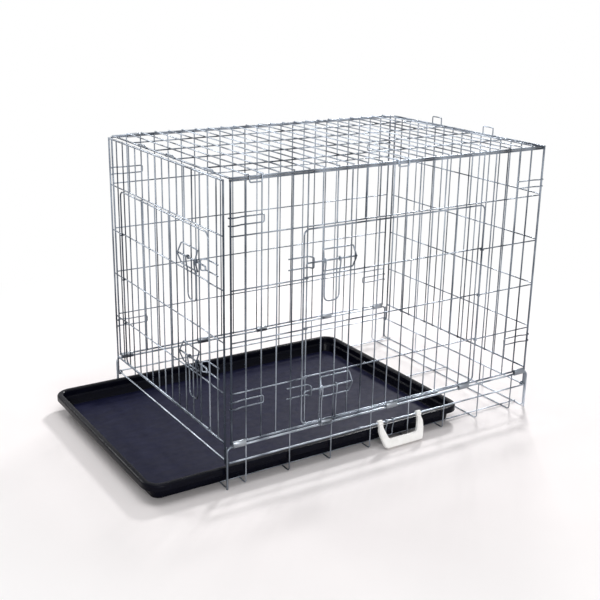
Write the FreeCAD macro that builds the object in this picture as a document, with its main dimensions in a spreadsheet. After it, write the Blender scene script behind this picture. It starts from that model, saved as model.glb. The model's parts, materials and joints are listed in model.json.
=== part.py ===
"""Folding wire dog crate with two doors, slide-bolt latches and a pull-out pan.

Frame: millimetres, +Z up.  The origin lies on the floor under the centre of the cage.
X runs along the crate, with the open end of the base at -X, and -Y is the front.
"""

import FreeCAD
import Part

import math
import os

V = FreeCAD.Vector

SIZES = {
    # overall size of the cage
    "crate_length": 914,
    "crate_depth": 635,
    "crate_height": 711,
    # wire diameters
    "rail_wire": 5,
    "mid_wire": 4,
    "frame_wire": 4.5,
    "door_wire": 3.8,
    "mesh_wire": 3.2,
    "latch_wire": 3.4,
    "bolt_wire": 4,
    "loop_wire": 3,
    # flats round a wire, and the most degrees turned by one step of a bend
    "wire_sides": 8,
    "bend_step": 45,
    # gaps between pieces that move past each other
    "running_gap": 0.3,
    "panel_gap": 2,
    # base: heights of the two rails that run round it, and bend radii
    "rim_height": 102,
    "mid_height": 64,
    "post_bend": 12,
    "mid_bend": 6,
    "wire_bend": 8,
    "floor_wire_inset": 36,
    # how many wire pitches there are along each face
    "front_pitches": 23,
    "end_pitches": 16,
    "row_pitches": 5,
    "lid_pitches": 5,
    # curls at the feet of the end panels' corner wires
    "curl_height": 30,
    # sheet clips that hold two rails side by side
    "hinge_spacing": 8.4,
    "clip_length": 33,
    "clip_sheet": 1.2,
    "clip_bore_gap": 0.1,
    "lid_set_in": 10.1,
    # doors
    "door_lap": 13,
    "door_hinge_lap": 6.6,
    "door_gap": 5,
    "door_sill": 6,
    "door_bend": 14,
    "door_row_rise": 4.4,
    "hinge_eye_reach": 2,
    # slide-bolt latches
    "bracket_start": 38,
    "bracket_width": 80,
    "bracket_height": 50,
    "bracket_vee": 4,
    "bracket_gap_above": 5.2,
    "bracket_gap_below": 6.2,
    "bolt_tip": 8,
    "bolt_tip_drop": 9.5,
    "bolt_length": 134,
    "bolt_guide_gap": 1,
    "pull_start": 39.5,
    "pull_width": 40,
    "pull_length": 95,
    "pull_neck": 12,
    "pull_shoulder": 28,
    "keeper_reach": 50,
    "keeper_rise": 2,
    "keeper_nose": 8,
    "keeper_width": 25,
    "latch_bend": 4,
    # hooks at the corners of the long sides, and on the lid
    "hook_width": 17,
    "hook_reach": 81,
    "hook_joggle_start": 23,
    "hook_joggle_end": 12,
    "hook_nose": 4,
    "hook_tip": 5.5,
    "lid_hook_gap": 1,
    "lid_hook_clearance": 0.7,
    "lid_hook_drop": 15.4,
    "lid_hook_seat": 14,
    "end_loop_width": 38,
    "end_loop_height": 20,
    "end_loop_place": 105,
    "low_loop_height": 6,
    # pan
    "pan_length": 880,
    "pan_height": 42,
    "pan_wall": 2.5,
    "pan_rim": 16,
    "pan_rim_round": 5,
    "pan_lip": 15,
    "pan_ledge": 4,
    "pan_ledge_height": 24,
    "pan_draft": 4,
    "pan_corner": 42,
    "pan_side_gap": 3.3,
    "pan_pulled": 212,
    # carry handle and closing loop
    "handle_place": 27.5,
    "handle_width": 118,
    "handle_drop": 66,
    "handle_leg": 16,
    "handle_grip": 22,
    "handle_thick": 12,
    "handle_corner": 13,
    "handle_inner_corner": 7,
    "handle_chamfer": 3,
    "handle_eye": 6.8,
    "handle_lean": 22,
    "loop_place": -3,
    "loop_width": 20,
    "loop_drop": 39,
    "loop_neck": 7.6,
    "loop_shoulder": 19,
}

# Heights of the corner hooks, in rows above the bottom rail of a panel.
HOOK_ROWS = (0.77, 4.27)
# The row wire each latch stands by, and whether it is above or below it.
FRONT_LATCH_ROWS = {"lower": (1, "below"), "upper": (3, "above")}
LEFT_LATCH_ROWS = {"lower": (1, "above"), "upper": (3, "above")}
# Grid lines that bound the two doorways, and those that carry a floor wire.
FRONT_DOORWAY = (5, 18)
LEFT_DOORWAY = (2, 14)
DOORWAY_ROWS = 4
CROSS_WIRE_LINES = (1, 4, 7, 10, 13, 16, 19, 22)
# Grid lines, or half-way places between them, of the clips.
BASE_CLIP_LINES = (0.5, 6.5, 11.5, 17.5, 22.5)
LID_CLIP_LINES = (1.5, 11.5, 21.5)
LID_HOOK_LINES = (1.5, 11.5)
LOW_LOOP_LINES = (2, 7, 11)

doc = FreeCAD.newDocument("wire_dog_crate")
sheet = doc.addObject("Spreadsheet::Sheet", "Sizes")
for line, (alias, size) in enumerate(SIZES.items(), start=1):
    sheet.set(f"A{line}", str(size))
    sheet.setAlias(f"A{line}", alias)
doc.recompute()


def number(expression):
    """The value of an expression over the sheet's cells."""
    return float(sheet.evalExpression(str(expression)))


# Places worked out from the sheet, as expressions that objects can be bound to.
POST_X = "(Sizes.crate_length / 2 - Sizes.rail_wire / 2)"
SIDE_Y = "(Sizes.crate_depth / 2 - Sizes.rail_wire / 2)"
LEG_Y = f"({SIDE_Y} - Sizes.rail_wire / 2 - Sizes.mesh_wire / 2)"
MID_Y = f"({LEG_Y} + Sizes.mesh_wire / 2 + Sizes.mid_wire / 2)"
EYE_RADIUS = "(Sizes.mid_wire / 2 + Sizes.running_gap + Sizes.frame_wire / 2)"
MID_X = f"({POST_X} - Sizes.rail_wire / 2 - Sizes.mid_wire / 2)"
END_X = f"({MID_X} + {EYE_RADIUS})"
END_WIRE_X = f"({MID_X} + Sizes.mid_wire / 2 + Sizes.mesh_wire / 2)"
# The lid's end loops pass between the side panels' corner wires and the end panels.
SIDE_HALF = f"({END_X} - Sizes.frame_wire - 2 * Sizes.mesh_wire - 2 * Sizes.running_gap)"
END_HALF = f"({LEG_Y} - Sizes.mesh_wire / 2 - Sizes.panel_gap - Sizes.frame_wire / 2)"
LID_HALF = f"({SIDE_HALF} + Sizes.running_gap)"
SIDE_PITCH = f"(2 * {SIDE_HALF} / Sizes.front_pitches)"
END_PITCH = f"(2 * {END_HALF} / Sizes.end_pitches)"
BOTTOM_Z = "(Sizes.rim_height + Sizes.hinge_spacing)"
LID_Z = "(Sizes.crate_height - Sizes.mesh_wire - Sizes.frame_wire / 2)"
TOP_Z = f"({LID_Z} - Sizes.frame_wire - Sizes.running_gap)"
ROW = f"(({TOP_Z} - {BOTTOM_Z}) / Sizes.row_pitches)"
LID_BACK_Y = f"({SIDE_Y} - Sizes.lid_set_in)"
LID_TOP_Z = f"({LID_Z} + Sizes.frame_wire / 2 + Sizes.mesh_wire / 2)"
# How far out of a panel's rail plane each layer of wire lies.
UPRIGHT_OUT = "(-Sizes.frame_wire / 2 - Sizes.mesh_wire / 2)"
ROW_OUT = f"({UPRIGHT_OUT} + Sizes.mesh_wire)"
HOOK_OUT = "(Sizes.frame_wire / 2 + Sizes.mesh_wire / 2)"
HINGE_EYE = "(Sizes.door_wire / 2 + Sizes.running_gap + Sizes.mesh_wire / 2)"
DOOR_OUT = f"({ROW_OUT} + {HINGE_EYE})"
DOOR_UPRIGHT_OUT = f"({DOOR_OUT} - Sizes.door_wire / 2 - Sizes.mesh_wire / 2)"
DOOR_ROW_OUT = f"({DOOR_UPRIGHT_OUT} + Sizes.mesh_wire)"
BRACKET_OUT = f"({DOOR_UPRIGHT_OUT} + Sizes.mesh_wire / 2 + Sizes.latch_wire / 2)"
PULL_EYE = "(Sizes.bolt_wire / 2 + Sizes.running_gap + Sizes.latch_wire / 2)"
BOLT_OUT = f"({BRACKET_OUT} + {PULL_EYE} + 2 * Sizes.running_gap)"
PAN_FLOOR_Z = "(2 * Sizes.mesh_wire + Sizes.running_gap)"
HALF_SIDE_ANGLE = "(180 / Sizes.wire_sides)"

nodes = []


def keep(feature, label):
    """Names an object that is a node of the crate, and lists it for writing."""
    feature.Label = label
    nodes.append(feature)
    return feature


def group(label, pieces):
    """One node that holds several separate solids."""
    compound = doc.addObject("Part::Compound", label)
    compound.Links = pieces
    return keep(compound, label)


def straight_wire(diameter, start, axis, length):
    """A wire from start along +X, +Y or +Z, with every size bound to the sheet.

    Its section has wire_sides flats, laid so that crossing wires meet flat to flat.
    """
    turn = {
        "X": FreeCAD.Rotation(V(0, 1, 0), 90),
        "Y": FreeCAD.Rotation(V(1, 0, 0), -90),
        "Z": FreeCAD.Rotation(),
    }
    flat_turn = FreeCAD.Rotation(V(0, 0, 1), number(HALF_SIDE_ANGLE))
    wire = doc.addObject("Part::Prism", "wire")
    wire.Placement = FreeCAD.Placement(V(), turn[axis] * flat_turn)
    wire.setExpression("Polygon", "Sizes.wire_sides")
    wire.setExpression("Circumradius", f"{diameter} / 2 / cos({HALF_SIDE_ANGLE})")
    wire.setExpression("Height", length)
    for letter, place in zip("xyz", start):
        wire.setExpression(f"Placement.Base.{letter}", str(place))
    return wire


def bend_corner(before, corner, after, bend):
    """The points that turn a corner in equal steps round an arc of radius bend."""
    back = (before - corner).normalize()
    ahead = (after - corner).normalize()
    turn = math.pi - back.getAngle(ahead)
    steps = max(1, math.ceil(turn / math.radians(number("Sizes.bend_step")) - 0.01))
    if steps == 1:
        return [corner]
    entry = corner + back * (bend * math.tan(turn / 2))
    inward = (ahead + back).normalize()
    centre = corner + inward * (bend / math.cos(turn / 2))
    axis = back.cross(ahead)
    reach = bend / math.cos(turn / steps / 2)
    spoke = (entry - centre).normalize() * reach
    points = []
    for step in range(steps):
        angle = -math.degrees(turn * (step + 0.5) / steps)
        points.append(centre + FreeCAD.Rotation(axis, angle).multVec(spoke))
    return points


def wire_path(points, bend, closed):
    """All the corners of a bent wire, with its bends spread over their steps."""
    path = []
    for i, corner in enumerate(points):
        if not closed and i in (0, len(points) - 1):
            path.append(corner)
        else:
            path += bend_corner(points[i - 1], corner, points[(i + 1) % len(points)], bend)
    return path


def first_ring(diameter, start, heading):
    """The corners of a wire's section round its first point."""
    sides = int(number("Sizes.wire_sides"))
    half_side = math.radians(number(HALF_SIDE_ANGLE))
    level = V(0, 0, 1) if abs(heading.z) < 0.5 else V(1, 0, 0)
    across = heading.cross(level).normalize()
    up = across.cross(heading)
    radius = number(diameter) / 2 / math.cos(half_side)
    ring = []
    for side in range(sides):
        angle = (2 * side + 1) * half_side
        ring.append(start + across * (radius * math.cos(angle)) + up * (radius * math.sin(angle)))
    return ring


def slid_to_plane(ring, heading, centre, normal):
    """A ring of corners moved along heading until each lies on a plane."""
    return [p + heading * ((centre - p).dot(normal) / heading.dot(normal)) for p in ring]


def bent_wire(diameter, points, bend, closed=False):
    """A wire bent along the points, with mitred steps round each bend."""
    path = wire_path(points, bend, closed)
    count = len(path)
    runs = count if closed else count - 1
    headings = [(path[(i + 1) % count] - path[i]).normalize() for i in range(runs)]
    ring = first_ring(diameter, path[0], headings[0])
    if closed:
        ring = slid_to_plane(ring, headings[0], path[0], headings[-1] + headings[0])
    rings = [ring]
    for i in range(runs):
        normal = headings[i] + headings[(i + 1) % runs]
        if not closed and i == runs - 1:
            normal = headings[i]
        rings.append(slid_to_plane(rings[-1], headings[i], path[(i + 1) % count], normal))
    if closed:
        rings[-1] = [min(ring, key=corner.distanceToPoint) for corner in rings[-1]]
    faces = []
    for near, far in zip(rings, rings[1:]):
        for i in range(len(near)):
            quad = [near[i - 1], near[i], far[i], far[i - 1], near[i - 1]]
            faces.append(Part.Face(Part.makePolygon(quad)))
    if not closed:
        for end in (rings[0], rings[-1]):
            faces.append(Part.Face(Part.makePolygon(end + end[:1])))
    shell = Part.makeShell(faces)
    shell.sewShape()
    solid = Part.Solid(Part.Shell(shell.Faces))
    if solid.Volume < 0:
        solid.reverse()
    wire = doc.addObject("Part::Feature", "bent_wire")
    wire.Shape = solid
    return wire


class Face:
    """A side of the cage: turns distances along it, out of it and up into a point."""

    def __init__(self, along, out, plane, half, pitch):
        self.along = along
        self.out = out
        self.plane = plane
        self.half = half
        self.pitch = pitch

    def point(self, along, out, height):
        reach = number(self.plane) + out
        return self.along * along + self.out * reach + V(0, 0, height)

    def line(self, index):
        """Where grid line index stands along the face."""
        return number(self.half) * -1 + index * number(self.pitch)

    def wire(self, diameter, along, out, height, direction, length):
        """A straight wire on this face, along it or upright."""
        plane = f"({self.plane} + {out})"
        place = {"x": None, "y": None}
        for letter, along_part, out_part in (
            ("x", self.along.x, self.out.x),
            ("y", self.along.y, self.out.y),
        ):
            place[letter] = f"({along_part} * ({along}) + {out_part} * {plane})"
        axis = "Z"
        if direction == "along":
            axis = "X" if self.along.x else "Y"
        return straight_wire(diameter, (place["x"], place["y"], height), axis, length)


FRONT = Face(V(1, 0, 0), V(0, -1, 0), SIDE_Y, SIDE_HALF, SIDE_PITCH)
BACK = Face(V(1, 0, 0), V(0, 1, 0), SIDE_Y, SIDE_HALF, SIDE_PITCH)
LEFT = Face(V(0, 1, 0), V(-1, 0, 0), END_X, END_HALF, END_PITCH)
RIGHT = Face(V(0, 1, 0), V(1, 0, 0), END_X, END_HALF, END_PITCH)


# ---------------------------------------------------------------- base

def base_rim(face):
    """A top rail of the base, whose ends bend down into two corner posts."""
    post = number(POST_X)
    rim = number("Sizes.rim_height")
    points = [
        face.point(-post, 0, 0),
        face.point(-post, 0, rim),
        face.point(post, 0, rim),
        face.point(post, 0, 0),
    ]
    return bent_wire("Sizes.rail_wire", points, number("Sizes.post_bend"))


def base_mid_rail():
    """The closed rail round the base that the end panels turn on."""
    x = number(MID_X)
    y = number(MID_Y)
    z = number("Sizes.mid_height")
    points = [V(0, -y, z), V(x, -y, z), V(x, y, z), V(-x, y, z), V(-x, -y, z)]
    return bent_wire("Sizes.mid_wire", points[1:], number("Sizes.mid_bend"), closed=True)


def base_cross_wire(x):
    """A floor wire whose ends turn up inside the two rim rails."""
    y = number(LEG_Y)
    low = number("Sizes.mesh_wire / 2")
    top = number("Sizes.rim_height")
    points = [V(x, -y, top), V(x, -y, low), V(x, y, low), V(x, y, top)]
    return bent_wire("Sizes.mesh_wire", points, number("Sizes.wire_bend"))


def make_base():
    keep(base_rim(FRONT), "base_front_rim")
    keep(base_rim(BACK), "base_back_rim")
    keep(base_mid_rail(), "base_mid_rail")
    end = number(END_WIRE_X)
    places = [-end] + [FRONT.line(i) for i in CROSS_WIRE_LINES] + [end]
    group("base_cross_wires", [base_cross_wire(x) for x in places])
    reach = f"({END_WIRE_X} + Sizes.mesh_wire / 2)"
    inset = "(Sizes.crate_depth / 2 - Sizes.floor_wire_inset)"
    lengthwise = []
    for side in (-1, 0, 1):
        start = (f"-{reach}", f"{side} * {inset}", "1.5 * Sizes.mesh_wire")
        lengthwise.append(straight_wire("Sizes.mesh_wire", start, "X", f"2 * {reach}"))
    group("base_floor_wires", lengthwise)
    stops = []
    for quarter in (-1, 0, 1):
        # The middle stop stands on the middle floor wire, the others on the cross wire.
        foot = "Sizes.mesh_wire" if quarter else "(2 * Sizes.mesh_wire)"
        start = (END_WIRE_X, f"{quarter} * {END_HALF} / 2", foot)
        height = f"Sizes.mid_height - {foot}"
        stops.append(straight_wire("Sizes.mesh_wire", start, "Z", height))
    group("base_pan_stops", stops)


# ---------------------------------------------------------------- sheet clips

def slot_corners(first, second, axis, radius):
    """Corners of a slot round two parallel wires, its ends as flats round each wire."""
    half_side = math.radians(number(HALF_SIDE_ANGLE))
    across = (second - first).normalize()
    side = axis.cross(across)
    reach = radius / math.cos(half_side)
    corners = []
    for centre, outward in ((second, across), (first, across * -1)):
        turn_side = side if outward == across else side * -1
        for step in range(int(number("Sizes.wire_sides")) // 2):
            angle = (2 * step + 1) * half_side
            corners.append(
                centre + turn_side * (reach * math.cos(angle)) + outward * (reach * math.sin(angle))
            )
    return corners


def clip(first, second, axis, bore, length):
    """A strip of sheet closed round two parallel wires that run along axis."""

    def slot(radius):
        corners = slot_corners(first, second, axis, radius)
        face = Part.Face(Part.makePolygon(corners + corners[:1]))
        face.translate(axis * (-length / 2))
        return face.extrude(axis * length)

    piece = doc.addObject("Part::Feature", "clip")
    piece.Shape = slot(bore + number("Sizes.clip_sheet")).cut(slot(bore))
    return piece


def base_clips(face, label):
    """Clips that hold a side panel's bottom rail on the base's rim rail."""
    pieces = []
    for index in BASE_CLIP_LINES:
        along = face.line(index)
        pieces.append(clip(
            face.point(along, 0, number("Sizes.rim_height")),
            face.point(along, 0, number(BOTTOM_Z)),
            face.along,
            number("Sizes.rail_wire / 2 + Sizes.clip_bore_gap"),
            number("Sizes.clip_length"),
        ))
    group(label, pieces)


def lid_clips():
    """Clips that join the lid's back rail to the back panel's top rail."""
    pieces = []
    for index in LID_CLIP_LINES:
        along = BACK.line(index)
        pieces.append(clip(
            V(along, number(SIDE_Y), number(TOP_Z)),
            V(along, number(LID_BACK_Y), number(LID_Z)),
            V(1, 0, 0),
            number("Sizes.frame_wire / 2 + Sizes.running_gap"),
            number("Sizes.clip_length"),
        ))
    group("lid_hinge_clips", pieces)


# ---------------------------------------------------------------- panels

def panel_uprights(face, doorway=None):
    """The upright wires between the corner wires, cut off above a doorway."""
    wires = []
    pitches = int(number("Sizes.front_pitches" if face.along.x else "Sizes.end_pitches"))
    for index in range(1, pitches):
        foot = f"({BOTTOM_Z} - Sizes.mesh_wire / 2)"
        if doorway and doorway[0] < index < doorway[1]:
            foot = f"({BOTTOM_Z} + {DOORWAY_ROWS} * {ROW} - Sizes.mesh_wire / 2)"
        along = f"-{face.half} + {index} * {face.pitch}"
        length = f"{TOP_Z} + Sizes.mesh_wire / 2 - {foot}"
        wires.append(
            face.wire("Sizes.mesh_wire", along, UPRIGHT_OUT, foot, "up", length)
        )
    return wires


def panel_rows(face, doorway=None):
    """The wires along a panel between its rails, in two parts beside a doorway."""
    wires = []
    end = f"({face.half} - Sizes.frame_wire / 2)"
    for row in range(1, int(number("Sizes.row_pitches"))):
        height = f"{BOTTOM_Z} + {row} * {ROW}"
        spans = [(f"(-{end})", end)]
        if doorway and row < DOORWAY_ROWS:
            left = f"(-{face.half} + {doorway[0]} * {face.pitch} + Sizes.mesh_wire / 2)"
            right = f"(-{face.half} + {doorway[1]} * {face.pitch}" \
                " + Sizes.door_hinge_lap + Sizes.hinge_eye_reach)"
            spans = [(f"(-{end})", left), (right, end)]
        for start, stop in spans:
            wires.append(face.wire(
                "Sizes.mesh_wire", start, ROW_OUT, height, "along", f"{stop} - {start}"
            ))
    return wires


def side_rails(face, name):
    """Top and bottom rails of a long side, with its corner wires between them."""
    reach = f"({face.half} + Sizes.frame_wire / 2)"
    pieces = []
    for height in (BOTTOM_Z, TOP_Z):
        pieces.append(face.wire(
            "Sizes.frame_wire", f"-{reach}", "0", height, "along", f"2 * {reach}"
        ))
    foot = f"{BOTTOM_Z} + Sizes.frame_wire / 2"
    for side in (-1, 1):
        pieces.append(face.wire(
            "Sizes.frame_wire", f"{side} * {face.half}", "0", foot, "up",
            f"{TOP_Z} - {BOTTOM_Z} - Sizes.frame_wire",
        ))
    group(f"{name}_rails", pieces)


def end_rails(face, name):
    """Top and bottom rails of an end, and corner wires whose feet curl round the mid rail."""
    reach = f"({face.half} - Sizes.frame_wire / 2)"
    pieces = []
    for height in (BOTTOM_Z, TOP_Z):
        pieces.append(face.wire(
            "Sizes.frame_wire", f"-{reach}", "0", height, "along", f"2 * {reach}"
        ))
    foot = "(Sizes.mid_height + Sizes.curl_height)"
    length = f"{TOP_Z} + Sizes.frame_wire / 2 - {foot}"
    for side in (-1, 1):
        along = f"{side} * {face.half}"
        pieces.append(face.wire("Sizes.frame_wire", along, "0", foot, "up", length))
    group(f"{name}_rails", pieces)
    group(f"{name}_curls", [corner_curl(face, side * number(face.half)) for side in (-1, 1)])


def corner_curl(face, along):
    """The foot of a corner wire, curled under the mid rail and up inside it."""
    eye = number(EYE_RADIUS)
    mid = number("Sizes.mid_height")
    points = [
        face.point(along, 0, mid + number("Sizes.curl_height")),
        face.point(along, 0, mid - eye),
        face.point(along, -2 * eye, mid - eye),
        face.point(along, -2 * eye, mid + eye),
        face.point(along, -eye, mid + eye),
    ]
    return bent_wire("Sizes.frame_wire", points, eye)


def corner_hooks(face, name):
    """Double hooks: a wire folded in two, whose free ends pass round the corner wire."""
    half_width = number("Sizes.hook_width / 2")
    nose = number("Sizes.hook_nose")
    inner = number(ROW_OUT)
    outer = number(HOOK_OUT)
    run = [
        (nose, outer - number("Sizes.hook_tip")),
        (nose, outer),
        (-number("Sizes.hook_joggle_end"), outer),
        (-number("Sizes.hook_joggle_start"), inner),
        (-number("Sizes.hook_reach"), inner),
    ]
    pieces = []
    for side in (-1, 1):
        places = [(side * (number(face.half) + along), out) for along, out in run]
        for row in HOOK_ROWS:
            high = number(f"{BOTTOM_Z} + {row} * {ROW}") + half_width
            low = high - 2 * half_width
            points = [face.point(along, out, high) for along, out in places]
            points += [face.point(along, out, low) for along, out in reversed(places)]
            pieces.append(bent_wire("Sizes.mesh_wire", points, number("Sizes.latch_bend")))
    group(f"{name}_corner_hooks", pieces)


# ---------------------------------------------------------------- doors

class Doorway:
    """Where a door and its latches lie on a face."""

    def __init__(self, face, lines):
        self.face = face
        self.lines = lines
        self.latch_line = face.line(lines[0])
        self.latch_edge = self.latch_line - number("Sizes.door_lap")
        self.hinge_edge = face.line(lines[1]) + number("Sizes.door_hinge_lap")
        self.sill = number(f"{BOTTOM_Z} + Sizes.door_sill")
        self.head = number(f"{BOTTOM_Z} + {DOORWAY_ROWS} * {ROW} - Sizes.door_gap")

    def row(self, rows):
        return number(f"{BOTTOM_Z} + {rows} * {ROW}")


def door(way, name):
    """A door: a bent rectangular wire with welded uprights and rows."""
    face = way.face
    out = number(DOOR_OUT)
    corners = (
        (way.latch_edge, way.sill),
        (way.hinge_edge, way.sill),
        (way.hinge_edge, way.head),
        (way.latch_edge, way.head),
    )
    frame = [face.point(along, out, height) for along, height in corners]
    bend = number("Sizes.door_bend")
    keep(bent_wire("Sizes.door_wire", frame, bend, closed=True), f"{name}_frame")
    uprights = []
    foot = f"({BOTTOM_Z} + Sizes.door_sill - Sizes.door_wire / 2)"
    head = f"({BOTTOM_Z} + {DOORWAY_ROWS} * {ROW} - Sizes.door_gap + Sizes.door_wire / 2)"
    for index in range(way.lines[0] + 1, way.lines[1]):
        along = f"-{face.half} + {index} * {face.pitch}"
        uprights.append(face.wire(
            "Sizes.mesh_wire", along, DOOR_UPRIGHT_OUT, foot, "up", f"{head} - {foot}"
        ))
    group(f"{name}_uprights", uprights)
    rows = []
    start = f"(-{face.half} + {way.lines[0]} * {face.pitch}" \
        " - Sizes.door_lap + Sizes.door_wire / 2)"
    stop = f"(-{face.half} + {way.lines[1]} * {face.pitch}" \
        " + Sizes.door_hinge_lap - Sizes.door_wire / 2)"
    for row in range(1, DOORWAY_ROWS):
        rows.append(face.wire(
            "Sizes.mesh_wire", start, DOOR_ROW_OUT,
            f"{BOTTOM_Z} + {row} * {ROW} + Sizes.door_row_rise", "along", f"{stop} - {start}",
        ))
    group(f"{name}_rows", rows)


def door_hinge_eyes(way, name):
    """The panel's row wires beside the doorway, their ends curled round the door's frame."""
    eye = number(HINGE_EYE)
    out = number(DOOR_OUT)
    far = way.hinge_edge + number("Sizes.hinge_eye_reach")
    near = way.hinge_edge - eye
    outline = ((far, out - eye), (near, out - eye), (near, out + eye), (far, out + eye))
    pieces = []
    for row in range(1, DOORWAY_ROWS):
        points = [way.face.point(along, o, way.row(row)) for along, o in outline]
        pieces.append(bent_wire("Sizes.mesh_wire", points, eye))
    group(f"{name}_hinge_eyes", pieces)


def latch_bracket(way, height):
    """A wire loop welded to the door, with ends sprung out in a vee round the bolt."""
    low = number(BRACKET_OUT)
    peak = number(f"{BOLT_OUT} + Sizes.bolt_wire / 2 + Sizes.latch_wire / 2")
    peak += number("Sizes.bolt_guide_gap")
    half = number("Sizes.bracket_height / 2")
    start = way.latch_line + number("Sizes.bracket_start")
    stop = start + number("Sizes.bracket_width")
    vee = number("Sizes.bracket_vee")
    outline = (
        (stop, low, half), (stop + vee, peak, 0), (stop, low, -half),
        (start, low, -half), (start - vee, peak, 0), (start, low, half),
    )
    points = [way.face.point(along, out, height + up) for along, out, up in outline]
    return bent_wire("Sizes.latch_wire", points, number("Sizes.latch_bend"), closed=True)


def latch_keeper(way, height):
    """A staple on the panel that rises through the door to stand before the bolt."""
    low = number(ROW_OUT)
    high = number(f"{BOLT_OUT} + Sizes.bolt_wire / 2 + Sizes.running_gap + Sizes.mesh_wire / 2")
    half = number("Sizes.keeper_width / 2")
    start = way.latch_line - number("Sizes.keeper_reach")
    rise = way.latch_line + number("Sizes.keeper_rise")
    nose = way.latch_line + number("Sizes.keeper_nose")
    run = [(start, low), (rise, low), (nose, high)]
    points = [way.face.point(along, out, height + half) for along, out in run]
    points += [way.face.point(along, out, height - half) for along, out in reversed(run)]
    return bent_wire("Sizes.mesh_wire", points, number("Sizes.latch_bend"))


def latch_bolt(way, height):
    """The sliding rod, with its free end bent down."""
    out = number(BOLT_OUT)
    tip = way.latch_line - number("Sizes.bolt_tip")
    points = [
        way.face.point(tip, out, height - number("Sizes.bolt_tip_drop")),
        way.face.point(tip, out, height),
        way.face.point(tip + number("Sizes.bolt_length"), out, height),
    ]
    return bent_wire("Sizes.bolt_wire", points, number("Sizes.latch_bend"))


def latch_pull(way, height):
    """The long wire handle that hangs from the bolt by two curled eyes."""
    eye = number(PULL_EYE)
    out = number(BOLT_OUT)
    left = way.latch_line + number("Sizes.pull_start")
    right = left + number("Sizes.pull_width")
    drop = number("Sizes.pull_length")
    side = [
        (out, -eye), (out - eye, -eye), (out - eye, eye), (out + eye, eye),
        (out + eye, -number("Sizes.pull_neck")), (out, -number("Sizes.pull_shoulder")),
        (out, -drop),
    ]
    points = [way.face.point(left, o, height + up) for o, up in side]
    points += [way.face.point(right, o, height + up) for o, up in reversed(side)]
    return bent_wire("Sizes.latch_wire", points, eye)


def latch_height(way, row, side):
    """Where a latch stands, its bracket a gap above or below one of the door's rows."""
    half = number("Sizes.bracket_height / 2 + Sizes.latch_wire / 2 + Sizes.mesh_wire / 2")
    wire = way.row(row) + number("Sizes.door_row_rise")
    if side == "above":
        return wire + half + number("Sizes.bracket_gap_above")
    return wire - half - number("Sizes.bracket_gap_below")


def latches(way, name, rows):
    """Both latches of a door: brackets, keepers, bolts and pulls."""
    levels = {place: latch_height(way, *stand) for place, stand in rows.items()}
    group(f"{name}_brackets", [latch_bracket(way, z) for z in levels.values()])
    group(f"{name}_keepers", [latch_keeper(way, z) for z in levels.values()])
    for place, height in levels.items():
        keep(latch_bolt(way, height), f"{name}_{place}_bolt")
        keep(latch_pull(way, height), f"{name}_{place}_bolt_pull")


# ---------------------------------------------------------------- lid

def make_lid():
    """Frame rails, wires across and along, hooks at the front and loops at the ends."""
    reach = f"({LID_HALF} + Sizes.frame_wire / 2)"
    depth = f"({LID_BACK_Y} + {SIDE_Y})"
    rails = []
    for y in (f"-{SIDE_Y}", LID_BACK_Y):
        rails.append(straight_wire("Sizes.frame_wire", (f"-{reach}", y, LID_Z), "X", f"2 * {reach}"))
    for side in (-1, 1):
        start = (f"{side} * {LID_HALF}", f"-{SIDE_Y} + Sizes.frame_wire / 2", LID_Z)
        length = f"{depth} - Sizes.frame_wire"
        rails.append(straight_wire("Sizes.frame_wire", start, "Y", length))
    group("lid_rails", rails)
    across = []
    for index in range(1, int(number("Sizes.front_pitches"))):
        x = f"-{SIDE_HALF} + {index} * {SIDE_PITCH}"
        across.append(straight_wire("Sizes.mesh_wire", (x, f"-{SIDE_Y}", LID_TOP_Z), "Y", depth))
    group("lid_cross_wires", across)
    lengthwise = []
    inner = f"({LID_HALF} - Sizes.frame_wire / 2)"
    for index in range(1, int(number("Sizes.lid_pitches"))):
        y = f"-{SIDE_Y} + {index} * {depth} / Sizes.lid_pitches"
        start = (f"-{inner}", y, f"{LID_TOP_Z} - Sizes.mesh_wire")
        lengthwise.append(straight_wire("Sizes.mesh_wire", start, "X", f"2 * {inner}"))
    group("lid_long_wires", lengthwise)
    group("lid_front_hooks", [lid_front_hook(FRONT.line(i)) for i in LID_HOOK_LINES])
    high = number("Sizes.end_loop_height")
    low = number("Sizes.low_loop_height")
    place = number("Sizes.end_loop_place")
    loops = [lid_end_loop(1, side * place, high) for side in (-1, 1)]
    loops += [lid_end_loop(-1, LEFT.line(index), low) for index in LOW_LOOP_LINES]
    group("lid_end_loops", loops)


def lid_front_hook(middle):
    """A bent wire over the lid's front rail that drops in front of the front panel."""
    half = number(f"{SIDE_PITCH} / 2 - Sizes.mesh_wire - Sizes.lid_hook_gap")
    back = number(f"-{SIDE_Y} + Sizes.lid_hook_seat")
    nose = number(f"-{SIDE_Y} - {HOOK_OUT} - Sizes.lid_hook_clearance")
    high = number(LID_TOP_Z)
    low = high - number("Sizes.lid_hook_drop")
    run = [(back, high), (nose, high), (nose, low)]
    points = [V(middle - half, y, z) for y, z in run]
    points += [V(middle + half, y, z) for y, z in reversed(run)]
    return bent_wire("Sizes.mesh_wire", points, number("Sizes.latch_bend"))


def lid_end_loop(side, middle, height):
    """A wire loop on the lid's end rail, that stands up above it by height."""
    half = number("Sizes.end_loop_width / 2")
    x = side * number(f"{LID_HALF} + {HOOK_OUT}")
    low = number(f"{LID_Z} - Sizes.mesh_wire / 2")
    high = number(LID_Z) + height
    points = [
        V(x, middle - half, low), V(x, middle - half, high),
        V(x, middle + half, high), V(x, middle + half, low),
    ]
    return bent_wire("Sizes.mesh_wire", points, number("Sizes.latch_bend"))


# ---------------------------------------------------------------- pan

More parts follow.
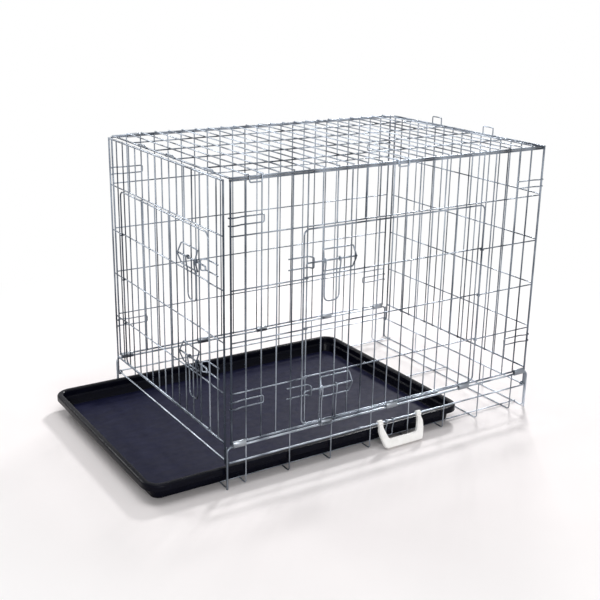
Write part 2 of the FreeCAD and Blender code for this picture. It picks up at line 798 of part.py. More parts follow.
def rounded_rectangle(corners, radius):
    """A closed wire through four level corners, each rounded by an arc."""
    edges = []
    for i, corner in enumerate(corners):
        back = (corners[i - 1] - corner).normalize()
        ahead = (corners[(i + 1) % 4] - corner).normalize()
        middle = corner + (back + ahead) * (radius * (1 - math.sqrt(0.5)))
        arc_end = corner + ahead * radius
        edges.append(Part.Arc(corner + back * radius, middle, arc_end).toShape())
        following = corners[(i + 1) % 4] - ahead * radius
        edges.append(Part.LineSegment(arc_end, following).toShape())
    return Part.Wire(edges)


def pan_outline(inset, height):
    """The pan's rounded rectangle, drawn in by inset, as a wire at a height."""
    x = number("Sizes.pan_length / 2") - inset
    y = number(f"{LEG_Y} - Sizes.mesh_wire / 2 - Sizes.pan_side_gap") - inset
    radius = number("Sizes.pan_corner") - inset
    points = [V(x, -y, height), V(x, y, height), V(-x, y, height), V(-x, -y, height)]
    return rounded_rectangle(points, radius)


def pan_solid(*levels):
    """A solid through rounded rectangles, each given as (inset, height)."""
    sections = [pan_outline(inset, height) for inset, height in levels]
    return Part.makeLoft(sections, True, True)


def pan_basin(skin):
    """The pan's basin, with a ledge half-way up its wall; skin is its cover over the inside."""
    inner = number("Sizes.pan_rim") - skin
    ledge = inner + number("Sizes.pan_ledge")
    floor = ledge + number("Sizes.pan_draft")
    base = number("Sizes.pan_wall") - skin
    step = number("Sizes.pan_ledge_height") - skin
    lower = pan_solid((floor, base), (ledge, step))
    return lower.fuse(pan_solid((inner, step), (inner, number("Sizes.pan_height"))))


def make_pan():
    """A shallow moulded tray with a rolled rim, a ledge in its wall and a flat floor."""
    wall = number("Sizes.pan_wall")
    inner = number("Sizes.pan_rim")
    roll = number("Sizes.pan_rim_round")
    top = number("Sizes.pan_height")
    lip = top - number("Sizes.pan_lip")
    rim = pan_solid((0, lip), (0, top - roll), (roll, top))
    under_rim = pan_solid((wall, lip), (wall, top - roll))
    mouth = pan_solid((inner, top - roll), (inner - roll, top))
    tray = rim.cut(under_rim).fuse(pan_basin(wall)).cut(pan_basin(0)).cut(mouth)
    pan = doc.addObject("Part::Feature", "pan_tray")
    pan.Shape = tray.removeSplitter()
    stop = number(f"{END_WIRE_X} - Sizes.mesh_wire / 2 - Sizes.running_gap")
    x = stop - number("Sizes.pan_length / 2") - number("Sizes.pan_pulled")
    pan.Placement = FreeCAD.Placement(V(x, 0, number(PAN_FLOOR_Z)), FreeCAD.Rotation())
    keep(pan, "pan_tray")


# ---------------------------------------------------------------- handle and closing loop

def is_level_edge(edge):
    """Whether an edge runs across no thickness of the handle."""
    first, last = (vertex.Point for vertex in (edge.Vertexes[0], edge.Vertexes[-1]))
    return abs(first.y - last.y) < 0.01


def is_at_axis(edge):
    """Whether an edge lies at the height of the handle's axis."""
    return all(abs(vertex.Point.z) < 0.01 for vertex in edge.Vertexes)


def make_handle():
    """A moulded bail whose two eyes turn on the front mid rail."""
    width = number("Sizes.handle_width")
    leg = number("Sizes.handle_leg / 2")
    drop = number("Sizes.handle_drop")
    grip = number("Sizes.handle_grip")
    thick = number("Sizes.handle_thick")
    corner = number("Sizes.handle_corner")
    inner_corner = number("Sizes.handle_inner_corner")
    outer = [
        V(-leg, 0, 0), V(-leg, 0, -drop + corner), V(-leg + corner, 0, -drop),
        V(width + leg - corner, 0, -drop), V(width + leg, 0, -drop + corner),
        V(width + leg, 0, 0), V(width - leg, 0, 0),
        V(width - leg, 0, -drop + grip + inner_corner),
        V(width - leg - inner_corner, 0, -drop + grip),
        V(leg + inner_corner, 0, -drop + grip), V(leg, 0, -drop + grip + inner_corner),
        V(leg, 0, 0),
    ]
    face = Part.Face(Part.makePolygon(outer + outer[:1]))
    face.translate(V(0, -thick / 2, 0))
    body = face.extrude(V(0, thick, 0))
    long_edges = [edge for edge in body.Edges if is_level_edge(edge) and not is_at_axis(edge)]
    body = body.makeChamfer(number("Sizes.handle_chamfer"), long_edges)
    radius = number("Sizes.handle_eye")
    bore = number("Sizes.mid_wire / 2 + Sizes.running_gap")
    for x in (0, width):
        body = body.fuse(Part.makeCylinder(radius, 2 * leg, V(x - leg, 0, 0), V(1, 0, 0)))
    for x in (0, width):
        body = body.cut(Part.makeCylinder(bore, 4 * leg, V(x - 2 * leg, 0, 0), V(1, 0, 0)))
    handle = doc.addObject("Part::Feature", "carry_handle")
    handle.Shape = body.removeSplitter()
    place = V(number("Sizes.handle_place") - width / 2, -number(MID_Y), number("Sizes.mid_height"))
    lean = FreeCAD.Rotation(V(1, 0, 0), -number("Sizes.handle_lean"))
    handle.Placement = FreeCAD.Placement(place, lean)
    keep(handle, "carry_handle")


def make_closing_loop():
    """A wire loop that hangs from the front mid rail and holds the folded crate shut."""
    eye = number("Sizes.mid_wire / 2 + Sizes.running_gap + Sizes.loop_wire / 2")
    y = -number(MID_Y)
    z = number("Sizes.mid_height")
    left = number("Sizes.loop_place - Sizes.loop_width / 2")
    right = number("Sizes.loop_place + Sizes.loop_width / 2")
    low = z - number("Sizes.loop_drop")
    side = [
        (y, z - eye), (y + eye, z - eye), (y + eye, z + eye), (y - eye, z + eye),
        (y - eye, z - number("Sizes.loop_neck")), (y, z - number("Sizes.loop_shoulder")),
        (y, low),
    ]
    points = [V(left, at, up) for at, up in side]
    points += [V(right, at, up) for at, up in reversed(side)]
    keep(bent_wire("Sizes.loop_wire", points, eye), "closing_loop")


# ---------------------------------------------------------------- assembly

def make_side(face, name, doorway=None):
    side_rails(face, name)
    group(f"{name}_uprights", panel_uprights(face, doorway))
    group(f"{name}_rows", panel_rows(face, doorway))
    corner_hooks(face, name)


def make_end(face, name, doorway=None):
    end_rails(face, name)
    group(f"{name}_uprights", panel_uprights(face, doorway))
    group(f"{name}_rows", panel_rows(face, doorway))


make_base()
base_clips(FRONT, "front_base_clips")
base_clips(BACK, "back_base_clips")
make_side(FRONT, "front_panel", FRONT_DOORWAY)
make_side(BACK, "back_panel")
make_end(LEFT, "left_end", LEFT_DOORWAY)
make_end(RIGHT, "right_end")
front_way = Doorway(FRONT, FRONT_DOORWAY)
left_way = Doorway(LEFT, LEFT_DOORWAY)
for way, name, latch_rows in (
    (front_way, "front_door", FRONT_LATCH_ROWS),
    (left_way, "left_door", LEFT_LATCH_ROWS),
):
    door(way, name)
    door_hinge_eyes(way, name)
    latches(way, name, latch_rows)
make_lid()
lid_clips()
make_pan()
make_handle()
make_closing_loop()

doc.recompute()
for feature in doc.Objects:
    if {"Invalid", "Error"} & set(feature.State):
        raise RuntimeError(f"{feature.Label} failed: {feature.State}")
for feature in nodes:
    if feature.Shape.isNull() or not feature.Shape.isValid() or not feature.Shape.Solids:
        raise RuntimeError(f"{feature.Label} has no valid shape")

os.makedirs("parts", exist_ok=True)
for feature in nodes:
    feature.Shape.exportStep(f"parts/{feature.Label}.step")
    print(f"{feature.Label}: {len(feature.Shape.Solids)} solids")
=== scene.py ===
import json
import math

import bmesh
import bpy
from mathutils import Matrix, Vector

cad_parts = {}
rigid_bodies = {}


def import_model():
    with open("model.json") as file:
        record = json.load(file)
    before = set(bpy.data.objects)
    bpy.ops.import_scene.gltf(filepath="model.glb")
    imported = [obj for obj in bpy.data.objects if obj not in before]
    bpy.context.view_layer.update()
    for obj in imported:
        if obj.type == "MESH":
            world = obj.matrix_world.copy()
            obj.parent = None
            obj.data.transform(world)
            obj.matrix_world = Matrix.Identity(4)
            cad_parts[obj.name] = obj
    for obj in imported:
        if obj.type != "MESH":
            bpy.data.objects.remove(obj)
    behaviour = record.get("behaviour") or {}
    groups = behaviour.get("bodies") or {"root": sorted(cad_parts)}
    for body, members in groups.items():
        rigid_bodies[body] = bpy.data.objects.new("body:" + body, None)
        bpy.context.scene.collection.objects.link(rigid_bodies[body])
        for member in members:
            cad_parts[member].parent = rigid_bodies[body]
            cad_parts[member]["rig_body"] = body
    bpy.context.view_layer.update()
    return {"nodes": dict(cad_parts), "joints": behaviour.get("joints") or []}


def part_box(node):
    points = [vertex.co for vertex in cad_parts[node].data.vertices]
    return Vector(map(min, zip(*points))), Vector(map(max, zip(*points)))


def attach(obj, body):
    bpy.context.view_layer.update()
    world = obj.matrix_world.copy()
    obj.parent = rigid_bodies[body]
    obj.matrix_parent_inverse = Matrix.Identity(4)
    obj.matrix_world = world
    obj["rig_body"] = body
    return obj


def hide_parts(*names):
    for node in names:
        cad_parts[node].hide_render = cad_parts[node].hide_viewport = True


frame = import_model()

# Lengths are in metres.
# The CAD's wires: flats round each, the widest, and when places, planes or directions agree.
WIRE_FLATS = 8
LARGEST_WIRE = 0.01
SAME_PLACE = 1e-5
ALONG_AXIS = SAME_PLACE / 10
SAME_PLANE = 0.9999
SAME_HEADING = 0.99
# The round wires: sides, and how far a bend's arc reaches and turns at each step.
ROUND_SIDES = 12
LONGEST_FILLET = 0.006
PULL_FOOT_REACH = 0.015
FILLET_STEP = math.radians(15)
# Softened edges, and the angle up to which faces are shaded as one.
CLIP_EDGE = 0.0004
CLIP_EDGE_STEPS = 2
SMOOTH_BELOW = math.radians(50)
# The pan's section, as inset from its outline and height above its underside.
PAN_WALL = 0.0025
PAN_RIM = 0.016
PAN_LIP = 0.015
PAN_ROLL = 0.0049
PAN_ROLL_STEPS = 5
PAN_LEDGE = 0.004
PAN_LEDGE_HEIGHT = 0.024
PAN_DRAFT = 0.004
PAN_FILLET = PAN_WALL * 0.8
PAN_FILLET_STEPS = 3
PAN_CORNER = 0.042
PAN_CORNER_STEPS = 14
# The handle's legs, grip and eyes, from the middle of its axis.
HANDLE_SPAN = 0.118
HANDLE_DROP = 0.065
HANDLE_GRIP = 0.022
HANDLE_HALF_LEG = 0.008
HANDLE_HALF_THICK = 0.006
HANDLE_EYE = 0.0068
HANDLE_EYE_SIDES = 24
HANDLE_BORE = 0.0023
HANDLE_ROUND = 0.0022
HANDLE_ROUND_STEPS = 3
HANDLE_LEAN = math.radians(22)
# Zinc: how much of its tone comes from clouds and how much from the batch of wire.
CLOUD_SHARE = 0.4
BATCH_SHARE = 0.6
# The stage: the floor, how far out it starts and ends to pale into the white backdrop, and the
# world's strength as light and as backdrop.
FLOOR_SIZE = 60
FLOOR_LEVEL = -0.0004
FLOOR_PALES = (0.6, 1.5)
WORLD_LIGHT = 0.3
BACKDROP = 1.0
# Lamps: place, width and height, and power in watts, all aimed at one place.
LAMPS = {
    "key": ((2.7, 2.3, 3.0), (0.6, 0.6), 140),
    "rim": ((-1.5, 3.2, 2.3), (1.4, 0.5), 34),
    "top": ((-0.3, -0.2, 3.1), (2.4, 1.6), 34),
    "fill": ((-1.1, -3.9, 0.9), (2.4, 0.9), 70),
}
LAMP_AIM = (0, 0, 0.3)
# The camera: place, yaw, pitch and roll in degrees, and lens and sensor in millimetres.
CAMERA_PLACE = (-1.397, -2.0775, 1.102)
CAMERA_TURN = (57.4, -18.1, 1.0)
CAMERA_LENS = 59.8
CAMERA_SENSOR = 36


# ---------------------------------------------------------------- materials

class Nodes:
    """A material's node tree, with short calls for the few kinds of node used here."""

    def __init__(self, name):
        self.material = bpy.data.materials.new(name)
        self.material.use_nodes = True
        self.tree = self.material.node_tree
        self.shader = self.tree.nodes["Principled BSDF"]
        self.place = self.add("ShaderNodeTexCoord").outputs["Object"]

    def add(self, kind, **inputs):
        """A new node, with values or links for its sockets, whose spaces are written _."""
        node = self.tree.nodes.new(kind)
        for socket, value in inputs.items():
            self.feed(node.inputs[socket.replace("_", " ")], value)
        return node

    def feed(self, socket, value):
        if isinstance(value, bpy.types.NodeSocket):
            self.tree.links.new(value, socket)
        else:
            socket.default_value = value

    def set(self, **inputs):
        """Values or links for the shader's own sockets."""
        for socket, value in inputs.items():
            self.feed(self.shader.inputs[socket.replace("_", " ")], value)

    def work_out(self, operation, *values, kind="ShaderNodeMath"):
        """A math node of an operation, fed with values in the order of its sockets."""
        node = self.add(kind)
        node.operation = operation
        for socket, value in zip(node.inputs, values):
            self.feed(socket, value)
        return node.outputs

    def noise(self, per_metre, detail=3, stretch=(1, 1, 1)):
        """Noise in the object's own space, finer along an axis where stretch is over 1."""
        place = self.work_out("MULTIPLY", self.place, stretch, kind="ShaderNodeVectorMath")
        texture = self.add(
            "ShaderNodeTexNoise", Vector=place["Vector"], Scale=per_metre, Detail=detail
        )
        return texture.outputs["Fac"]

    def ramp(self, factor, *stops):
        """A colour from a factor, by stops of a position and a colour."""
        node = self.add("ShaderNodeValToRGB", Fac=factor)
        elements = node.color_ramp.elements
        while len(elements) < len(stops):
            elements.new(0.5)
        for element, (position, colour) in zip(elements, stops):
            element.position = position
            element.color = (*colour, 1)
        return node.outputs["Color"]

    def span(self, factor, low, high):
        """A noise's usual values, from 0.3 to 0.7, spread from low to high."""
        ends = {"From_Min": 0.3, "From_Max": 0.7, "To_Min": low, "To_Max": high}
        return self.add("ShaderNodeMapRange", Value=factor, **ends).outputs["Result"]

    def bump(self, height, strength, distance):
        node = self.add("ShaderNodeBump", Height=height, Strength=strength, Distance=distance)
        self.set(Normal=node.outputs["Normal"])


def zinc(name, dull, bright, smoothest, roughest):
    """Bright zinc plate: cool grey, each wire a little different, with a faint grain."""
    made = Nodes(name)
    clouds = made.noise(12, detail=2)
    batches = made.noise(16, detail=2, stretch=(1, 1, 0.06))
    batch = made.work_out("MULTIPLY", batches, BATCH_SHARE)["Value"]
    mixed = made.work_out("MULTIPLY_ADD", clouds, CLOUD_SHARE, batch)["Value"]
    made.set(
        Base_Color=made.ramp(mixed, (0.395, dull), (0.635, bright)),
        Metallic=1.0,
        Roughness=made.span(made.noise(70, detail=3), smoothest, roughest),
    )
    made.bump(made.noise(600, detail=2), strength=0.08, distance=0.0001)
    return made.material


def pan_floor_plastic():
    """The pan's matt blue-black floor, with a fine grain and a few scuffs."""
    made = Nodes("pan_floor_plastic")
    scuffs = made.noise(26, detail=6, stretch=(1, 3, 1))
    tone = made.ramp(
        scuffs,
        (0.35, (0.0055, 0.006, 0.021)),
        (0.62, (0.008, 0.009, 0.03)),
        (0.8, (0.014, 0.016, 0.04)),
    )
    made.set(
        Base_Color=tone,
        Roughness=made.span(made.noise(60, detail=5), low=0.42, high=0.58),
        Specular_IOR_Level=0.08,
    )
    made.bump(made.noise(900, detail=3), strength=0.6, distance=0.0004)
    return made.material


def pan_rim_plastic_painted_shade():
    """The pan's glossy black rim and walls, faintly streaked by the mould, with painted shade: a
    darker copy of the pan floor's plastic.
    """
    made = Nodes("pan_rim_plastic_painted_shade")
    streaks = made.noise(30, detail=5, stretch=(1, 1, 6))
    tone = made.ramp(
        streaks, (0.35, (0.0012, 0.0014, 0.004)), (0.7, (0.0028, 0.0032, 0.008))
    )
    made.set(
        Base_Color=tone,
        Roughness=made.span(made.noise(70, detail=4), low=0.14, high=0.3),
        Specular_IOR_Level=0.07,
    )
    made.bump(made.noise(400, detail=2), strength=0.25, distance=0.0003)
    return made.material


def handle_plastic():
    """White moulded plastic, slightly warm, with a soft moulded surface."""
    made = Nodes("handle_plastic")
    clouds = made.noise(55, detail=4)
    tone = made.ramp(clouds, (0.35, (0.86, 0.855, 0.83)), (0.65, (0.93, 0.925, 0.91)))
    rough = made.span(made.noise(240, detail=3), low=0.3, high=0.45)
    made.set(Base_Color=tone, Roughness=rough)
    made.bump(made.noise(1100, detail=2), strength=0.2, distance=0.0001)
    return made.material


# ---------------------------------------------------------------- round wires

class Wire:
    """One eight-sided wire of a mesh: its faces, and the neighbours of each corner."""

    def __init__(self, faces):
        self.faces = faces
        self.near = {}
        for face in faces:
            for edge in face.edges:
                for v in edge.verts:
                    self.near.setdefault(v, set()).add(edge.other_vert(v))

    def end_ring(self):
        """The corners of a flat end: a fan of coplanar faces on eight even corners."""
        for face in self.faces:
            flat = spread(face, lambda other: other.normal.dot(face.normal) > SAME_PLANE)
            corners = {v for f in flat for v in f.verts}
            if len(corners) == WIRE_FLATS and is_regular(corners):
                return corners
        return None

    def run_ring(self):
        """A ring of a closed wire: the corners where its longest straight run starts.

        Only edges along X, Y or Z are taken, in the way that the axis points.
        """
        runs = []
        for v, others in self.near.items():
            for other in others:
                reach = other.co - v.co
                if max(reach) > reach.length - ALONG_AXIS:
                    runs.append((reach.length, reach.normalized(), v))
        longest, heading, first = max(runs, key=lambda run: run[0])
        ring = set()
        for length, direction, v in runs:
            offset = v.co - first.co
            aside = offset - heading * offset.dot(heading)
            same_run = length > longest / 2 and direction.dot(heading) > SAME_HEADING
            if same_run and aside.length < LARGEST_WIRE:
                ring.add(v)
        return ring

    def rings(self):
        """The rings of corners along the wire, in order, and whether it is closed."""
        ring = self.end_ring()
        closed = ring is None
        if closed:
            ring = self.run_ring()
        rings = [ring]
        seen = set(ring)
        while len(seen) < len(self.near):
            beside = {other for v in rings[-1] for other in self.near[v]} - seen
            if closed and len(rings) == 1:
                # A closed wire goes on both ways from its first ring: take one of them.
                start = middle_of(ring)
                side = max(beside, key=lambda v: (v.co - start).length).co - start
                beside = {v for v in beside if (v.co - start).dot(side) > 0}
            seen |= beside
            rings.append(beside)
        if any(len(ring) != WIRE_FLATS for ring in rings):
            raise RuntimeError(f"a wire's rings have {[len(ring) for ring in rings]} corners")
        return rings, closed

    def centre_line(self):
        """The middles of the rings along the wire, whether it is closed, and its radius."""
        rings, closed = self.rings()
        middles = [middle_of(ring) for ring in rings]
        heading = (middles[1] - middles[0]).normalized()
        corner = min(rings[0], key=lambda v: v.index).co - middles[0]
        across = (corner - heading * corner.dot(heading)).length
        return middles, closed, across * math.cos(math.pi / WIRE_FLATS)


def middle_of(corners):
    in_order = sorted(corners, key=lambda v: v.index)
    return sum((v.co for v in in_order), Vector()) / len(corners)


def is_regular(corners):
    """Whether corners lie on one circle about their middle."""
    reach = [(v.co - middle_of(corners)).length for v in corners]
    return max(reach) - min(reach) < SAME_PLACE


def spread(face, fits):
    """A face and those joined to it, over edges of two faces, that fit."""
    found = {face}
    wave = [face]
    while wave:
        edges = {edge for f in wave for edge in f.edges if len(edge.link_faces) == 2}
        wave = [f for f in {f for edge in edges for f in edge.link_faces} - found if fits(f)]
        found.update(wave)
    return found


def wires_of(node):
    """The separate wires of a CAD node, in the order of their faces."""
    mesh = bmesh.new()
    mesh.from_mesh(node.data)
    bmesh.ops.remove_doubles(mesh, verts=mesh.verts, dist=SAME_PLACE)
    mesh.verts.index_update()
    mesh.faces.index_update()
    done = set()
    for face in mesh.faces:
        if face not in done:
            faces = spread(face, lambda other: True)
            done |= faces
            yield Wire(sorted(faces, key=lambda f: f.index))
    mesh.free()


def with_round_foot(centres):
    """A pull's centre line, whose two lowest bends are drawn as two wide corners."""
    level = min(centre.z for centre in centres) + SAME_PLACE
    foot = [i for i, centre in enumerate(centres) if centre.z < level]
    first, last = foot[0], foot[-1]
    corners = []
    for beyond, high, low in ((first - 2, first - 1, first), (last + 2, last + 1, last)):
        heading = (centres[high] - centres[beyond]).normalized()
        reach = (centres[low] - centres[high]).length / math.sqrt(2)
        corners.append(centres[high] + heading * reach)
    return centres[:first - 1] + corners + centres[last + 2:], (first - 1, first)


def filleted(centres, closed, wide=()):
    """The centre line with each corner turned into a short arc, or a longer one if wide."""
    line = []
    count = len(centres)
    for i, corner in enumerate(centres):
        if not closed and i in (0, count - 1):
            line.append(corner)
            continue
        back = centres[i - 1] - corner
        ahead = centres[(i + 1) % count] - corner
        for point in bend(corner, back, ahead, PULL_FOOT_REACH if i in wide else LONGEST_FILLET):
            if not line or (line[-1] - point).length > SAME_PLACE:
                line.append(point)
    if closed and (line[0] - line[-1]).length < SAME_PLACE:
        line.pop()
    return line


def bend(corner, back, ahead, longest):
    """Points of a curve round a corner, from the way back to the way ahead."""
    reach = min(back.length / 2, ahead.length / 2, longest)
    turn = math.pi - back.angle(ahead)
    steps = max(1, math.ceil(turn / FILLET_STEP))
    entry = corner + back.normalized() * reach
    leave = corner + ahead.normalized() * reach
    for step in range(steps + 1):
        t = step / steps
        yield entry * (1 - t) ** 2 + corner * (2 * t * (1 - t)) + leave * t ** 2


def round_wires(name, material):
    """Round wires on the centre lines of a CAD node's eight-sided ones.

    All wires of a node have one radius.
    """
    curve = bpy.data.curves.new(name, "CURVE")
    curve.dimensions = "3D"
    curve.bevel_resolution = (ROUND_SIDES - 4) // 2
    curve.use_fill_caps = True
    for wire in wires_of(frame["nodes"][name]):
        centres, closed, radius = wire.centre_line()
        curve.bevel_depth = radius
        wide = ()
        if name.endswith("_pull"):
            centres, wide = with_round_foot(centres)
        line = filleted(centres, closed, wide)
        spline = curve.splines.new("POLY")
        spline.points.add(len(line) - 1)
        for point, place in zip(spline.points, line):
            point.co = (*place, 1)
        spline.use_cyclic_u = closed
    piece = link_new(f"{name}_round", surface_of(curve, material))
    stand_for(piece, name)


def surface_of(curve, material):
    """A curve's surface as a mesh, with smooth sides and flat ends."""
    drawn = bpy.data.objects.new(f"{curve.name}_line", curve)
    mesh = bpy.data.meshes.new_from_object(drawn)
    bpy.data.objects.remove(drawn)
    for face in mesh.polygons:
        face.use_smooth = len(face.vertices) == 4
    mesh.materials.clear()
    mesh.materials.append(material)
    return mesh


def link_new(name, data):
    """A new object in the scene."""
    made = bpy.data.objects.new(name, data)
    bpy.context.scene.collection.objects.link(made)
    return made


def stand_for(piece, name):
    """The piece takes a CAD node's place, on its body."""
    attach(piece, frame["nodes"][name]["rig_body"])
    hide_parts(name)


def moulding(name, mesh, *materials, turn=None):
    """A bmesh as an object whose faces are shaded as one up to SMOOTH_BELOW."""
    data = bpy.data.meshes.new(name)
    mesh.to_mesh(data)
    mesh.free()
    for material in materials:
        data.materials.append(material)
    if turn:
        data.transform(turn)
    piece = link_new(name, data)
    split = piece.modifiers.new("sharp_edges", "EDGE_SPLIT")
    split.split_angle = SMOOTH_BELOW
    return piece


# ---------------------------------------------------------------- CAD nodes that stay

def dress(node, material, edge):
    """A CAD node with its own shape, softened edges and smooth curved faces."""
    node.data.materials.clear()
    node.data.materials.append(material)
    weld = node.modifiers.new("weld", "WELD")
    weld.merge_threshold = SAME_PLACE
    bevel = node.modifiers.new("edges", "BEVEL")
    bevel.width = edge
    bevel.segments = CLIP_EDGE_STEPS
    bevel.limit_method = "ANGLE"
    bevel.angle_limit = SMOOTH_BELOW
    bevel.harden_normals = True
    for face in node.data.polygons:
        face.use_smooth = True


# ---------------------------------------------------------------- pan

def arc(centre, radius, start, stop, steps):
    """Points of an arc in a section, from one angle in degrees to another."""
    points = []
    for step in range(steps + 1):
        angle = math.radians(start + (stop - start) * step / steps)
        reach = (radius * math.cos(angle), radius * math.sin(angle))
        points.append((centre[0] + reach[0], centre[1] + reach[1]))
    return points


def pan_section(top):
    """The wall's section from the underside of the floor, over the rim, to the floor."""
    inner = PAN_RIM
    ledge = inner + PAN_LEDGE
    floor = ledge + PAN_DRAFT
    shoulder = top - PAN_ROLL
    under = PAN_LEDGE_HEIGHT - PAN_WALL
    fillet = PAN_FILLET
    section = [(floor - PAN_WALL, 0), (ledge - PAN_WALL, under)]
    section += [(inner - PAN_WALL, under), (inner - PAN_WALL, shoulder)]
    section += [(PAN_WALL, shoulder), (PAN_WALL, top - PAN_LIP), (0, top - PAN_LIP)]
    for centre, radius, start, stop, steps in (
        ((PAN_ROLL, shoulder), PAN_ROLL, 180, 90, PAN_ROLL_STEPS),
        ((inner - PAN_ROLL, shoulder), PAN_ROLL, 90, 0, PAN_ROLL_STEPS),
        ((inner + fillet, PAN_LEDGE_HEIGHT + fillet), fillet, 180, 270, PAN_FILLET_STEPS),
        ((ledge - fillet, PAN_LEDGE_HEIGHT - fillet), fillet, 90, 0, PAN_FILLET_STEPS),
        ((floor + fillet, PAN_WALL + fillet), fillet, 190, 270, PAN_FILLET_STEPS),
    ):
        section += arc(centre, radius, start, stop, steps)
    return section


def pan_ring(low, high, inset, height):
    """Points round the pan's rounded outline, drawn in by inset, at a height."""
    radius = PAN_CORNER - inset
    points = []
    for x, y, quarter in (
        (high.x, high.y, 0), (low.x, high.y, 1), (low.x, low.y, 2), (high.x, low.y, 3),
    ):
        centre = (
            x - math.copysign(PAN_CORNER, x - (low.x + high.x) / 2),
            y - math.copysign(PAN_CORNER, y - (low.y + high.y) / 2),
        )
        corner = arc(centre, radius, 90 * quarter, 90 * quarter + 90, PAN_CORNER_STEPS)
        points += [(*place, low.z + height) for place in corner]
    return points


def join_rings(mesh, near, far):
    """Faces between two closed rings of as many corners."""
    for i in range(len(near)):
        mesh.faces.new((near[i - 1], near[i], far[i], far[i - 1]))


def make_pan():
    low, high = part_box("pan_tray")
    section = pan_section(high.z - low.z)
    mesh = bmesh.new()
    rings = [
        [mesh.verts.new(point) for point in pan_ring(low, high, inset, height)]
        for inset, height in section
    ]
    for near, far in zip(rings, rings[1:]):
        join_rings(mesh, near, far)
    for face in mesh.faces:
        face.smooth = True
    mesh.faces.new(reversed(rings[0]))
    mesh.faces.new(rings[-1]).material_index = 1
    # The floor face takes the floor's plastic. All other faces take the darker copy, which is
    # painted shade.
    piece = moulding("pan_moulded", mesh, pan_rim_plastic_painted_shade(), pan_floor_plastic())
    stand_for(piece, "pan_tray")


# ---------------------------------------------------------------- carry handle

def handle_outline():
    """The handle's outline below its eyes, round its right half and then its left.

    The legs' waists and bends are set out in multiples of half a leg's width.
    """
    half = HANDLE_SPAN / 2
    leg = HANDLE_HALF_LEG
    waist = leg * 0.6
    inner_foot = (half - leg * 2.1, -HANDLE_DROP + HANDLE_GRIP)
    outer_foot = (half - leg * 0.6, -HANDLE_DROP)
    right = [
        inner_foot,
        (inner_foot[0] + leg * 0.5, inner_foot[1] + leg),
        (half - leg * 0.8, -leg * 2.2),
        (half - waist, -leg * 1.3),
        (half - waist, -HANDLE_BORE * 1.4),
        (half + waist, -HANDLE_BORE * 1.4),
        (half + waist, -leg * 1.3),
        (half + leg, -leg * 2.2),
        (half + leg * 0.8, -leg * 4.2),
        (half + leg * 0.1, outer_foot[1] + leg * 1.3),
        outer_foot,
    ]
    return right + [(-x, z) for x, z in reversed(right)]


def add_handle_grip(mesh):
    """The legs and the grip as one thick plate, with rounded edges."""
    front, back = (
        [mesh.verts.new((x, y, z)) for x, z in handle_outline()]
        for y in (-HANDLE_HALF_THICK, HANDLE_HALF_THICK)
    )
    mesh.faces.new(front)
    mesh.faces.new(reversed(back))
    for i in range(len(front)):
        mesh.faces.new((front[i], front[i - 1], back[i - 1], back[i]))
    bmesh.ops.recalc_face_normals(mesh, faces=mesh.faces)
    bmesh.ops.bevel(
        mesh, geom=mesh.edges[:], offset=HANDLE_ROUND, segments=HANDLE_ROUND_STEPS,
        affect="EDGES", clamp_overlap=True,
    )


def add_handle_eye(mesh, x):
    """A ring round the rail at x, with chamfered rims."""
    half = HANDLE_HALF_LEG * 0.85
    edge = HANDLE_ROUND * 0.7
    section = [(-half, HANDLE_BORE), (-half, HANDLE_EYE - edge), (-half + edge, HANDLE_EYE)]
    section += [(-along, reach) for along, reach in reversed(section)]
    rings = []
    for along, reach in section:
        ring = []
        for side in range(HANDLE_EYE_SIDES):
            angle = 2 * math.pi * side / HANDLE_EYE_SIDES
            place = (x + along, reach * math.cos(angle), reach * math.sin(angle))
            ring.append(mesh.verts.new(place))
        rings.append(ring)
    for near, far in zip(rings, rings[1:] + rings[:1]):
        join_rings(mesh, near, far)


def make_handle():
    mesh = bmesh.new()
    add_handle_grip(mesh)
    for side in (-1, 1):
        add_handle_eye(mesh, side * HANDLE_SPAN / 2)
    for face in mesh.faces:
        face.smooth = True
    bmesh.ops.recalc_face_normals(mesh, faces=mesh.faces)
    low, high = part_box("carry_handle")
    swing = next(j for j in frame["joints"] if j["name"] == "carry_handle_swing")
    axis = Vector(((low.x + high.x) / 2, *swing["pos_m"][1:]))
    lean = Matrix.Translation(axis) @ Matrix.Rotation(-HANDLE_LEAN, 4, "X")
    piece = moulding("handle_moulded", mesh, handle_plastic(), turn=lean)
    stand_for(piece, "carry_handle")


# ---------------------------------------------------------------- stage

def floor_material():
    """A pale warm floor that keeps its shadows and pales to white away from the crate."""
    made = Nodes("floor")
    tone = made.ramp(made.noise(3), (0.3, (0.90, 0.86, 0.86)), (0.7, (0.93, 0.89, 0.89)))
    made.set(Base_Color=tone, Roughness=0.9, Specular_IOR_Level=0.1)
    distance = made.work_out("LENGTH", made.place, kind="ShaderNodeVectorMath")["Value"]
    near, far = FLOOR_PALES
    fade = made.add("ShaderNodeMapRange", Value=distance, From_Min=near, From_Max=far)
    fade.interpolation_type = "SMOOTHSTEP"
    paleness = made.work_out("MULTIPLY", ray_shows_backdrop(made), fade.outputs["Result"])
    white = made.add("ShaderNodeEmission", Strength=BACKDROP)
    blend = made.add("ShaderNodeMixShader", Fac=paleness["Value"])
    made.feed(blend.inputs[1], made.shader.outputs["BSDF"])
    made.feed(blend.inputs[2], white.outputs["Emission"])
    made.feed(made.tree.nodes["Material Output"].inputs["Surface"], blend.outputs["Shader"])
    return made.material


def ray_shows_backdrop(nodes):
    """1 for camera, glossy and transmission rays, which see the white backdrop."""
    path = nodes.add("ShaderNodeLightPath")
    total = path.outputs["Is Camera Ray"]
    for ray in ("Is Glossy Ray", "Is Transmission Ray"):
        total = nodes.work_out("MAXIMUM", total, path.outputs[ray])["Value"]
    return total


class WorldNodes(Nodes):
    """The world's node tree, with the calls of a material's."""

    def __init__(self, world):
        world.use_nodes = True
        self.tree = world.node_tree


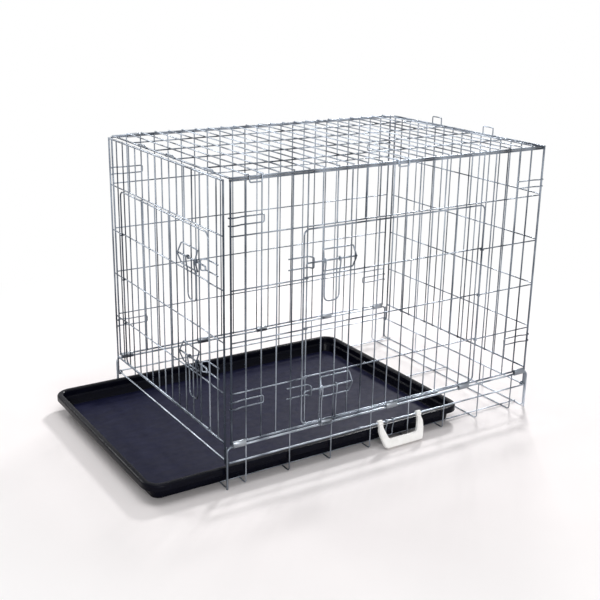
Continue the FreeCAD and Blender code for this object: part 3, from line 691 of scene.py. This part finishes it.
def make_world():
    world = bpy.data.worlds.new("studio")
    bpy.context.scene.world = world
    nodes = WorldNodes(world)
    background = nodes.tree.nodes["Background"]
    background.inputs["Color"].default_value = (1, 1, 1, 1)
    shown = ray_shows_backdrop(nodes)
    level = nodes.add("ShaderNodeMapRange", Value=shown, To_Min=WORLD_LIGHT, To_Max=BACKDROP)
    nodes.feed(background.inputs["Strength"], level.outputs["Result"])


def make_floor():
    bpy.ops.mesh.primitive_plane_add(size=FLOOR_SIZE, location=(0, 0, FLOOR_LEVEL))
    floor = bpy.context.object
    floor.name = "floor"
    floor.data.materials.append(floor_material())


def make_lamp(name, place, size, power):
    light = bpy.data.lights.new(name, "AREA")
    light.shape = "RECTANGLE"
    light.size, light.size_y = size
    light.energy = power
    lamp = link_new(name, light)
    lamp.location = place
    aim = Vector(LAMP_AIM) - Vector(place)
    lamp.rotation_euler = aim.to_track_quat("-Z", "Y").to_euler()


def make_camera():
    camera = link_new("camera", bpy.data.cameras.new("camera"))
    camera.data.sensor_width = CAMERA_SENSOR
    camera.data.lens = CAMERA_LENS
    yaw, pitch, roll = (math.radians(angle) for angle in CAMERA_TURN)
    level = math.cos(pitch)
    ahead = Vector((math.cos(yaw) * level, math.sin(yaw) * level, math.sin(pitch)))
    right = Vector((math.sin(yaw), -math.cos(yaw), 0))
    up = right.cross(ahead)
    rolled_right = right * math.cos(roll) + up * math.sin(roll)
    rolled_up = up * math.cos(roll) - right * math.sin(roll)
    turn = Matrix((rolled_right, rolled_up, -ahead)).transposed()
    camera.matrix_world = Matrix.Translation(CAMERA_PLACE) @ turn.to_4x4()
    bpy.context.scene.camera = camera


# ---------------------------------------------------------------- the crate

# The wires' zinc comes in two copies: a lighter one on the base's wires and a darker one on
# every other body. The difference between them is painted light and shade: lighter low down over
# the pan, darker on the wires seen against the white.
WIRE = zinc(
    "zinc_wire_with_painted_shade", dull=(0.046, 0.056, 0.074), bright=(0.39, 0.435, 0.5),
    smoothest=0.22, roughest=0.4,
)
LIT_COPY_BASE_WIRE = zinc(
    "zinc_base_with_painted_light", dull=(0.14, 0.16, 0.19), bright=(0.55, 0.6, 0.67),
    smoothest=0.26, roughest=0.44,
)
SHEET = zinc(
    "zinc_sheet", dull=(0.2, 0.22, 0.25), bright=(0.37, 0.395, 0.43),
    smoothest=0.26, roughest=0.42,
)
for node_name, node in frame["nodes"].items():
    if node_name.endswith("_clips"):
        dress(node, SHEET, CLIP_EDGE)
    elif node_name not in ("pan_tray", "carry_handle"):
        round_wires(node_name, LIT_COPY_BASE_WIRE if node["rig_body"] == "base" else WIRE)
make_pan()
make_handle()

bpy.context.scene.view_settings.view_transform = "Standard"
make_world()
make_floor()
for lamp_name, setting in LAMPS.items():
    make_lamp(lamp_name, *setting)
make_camera()
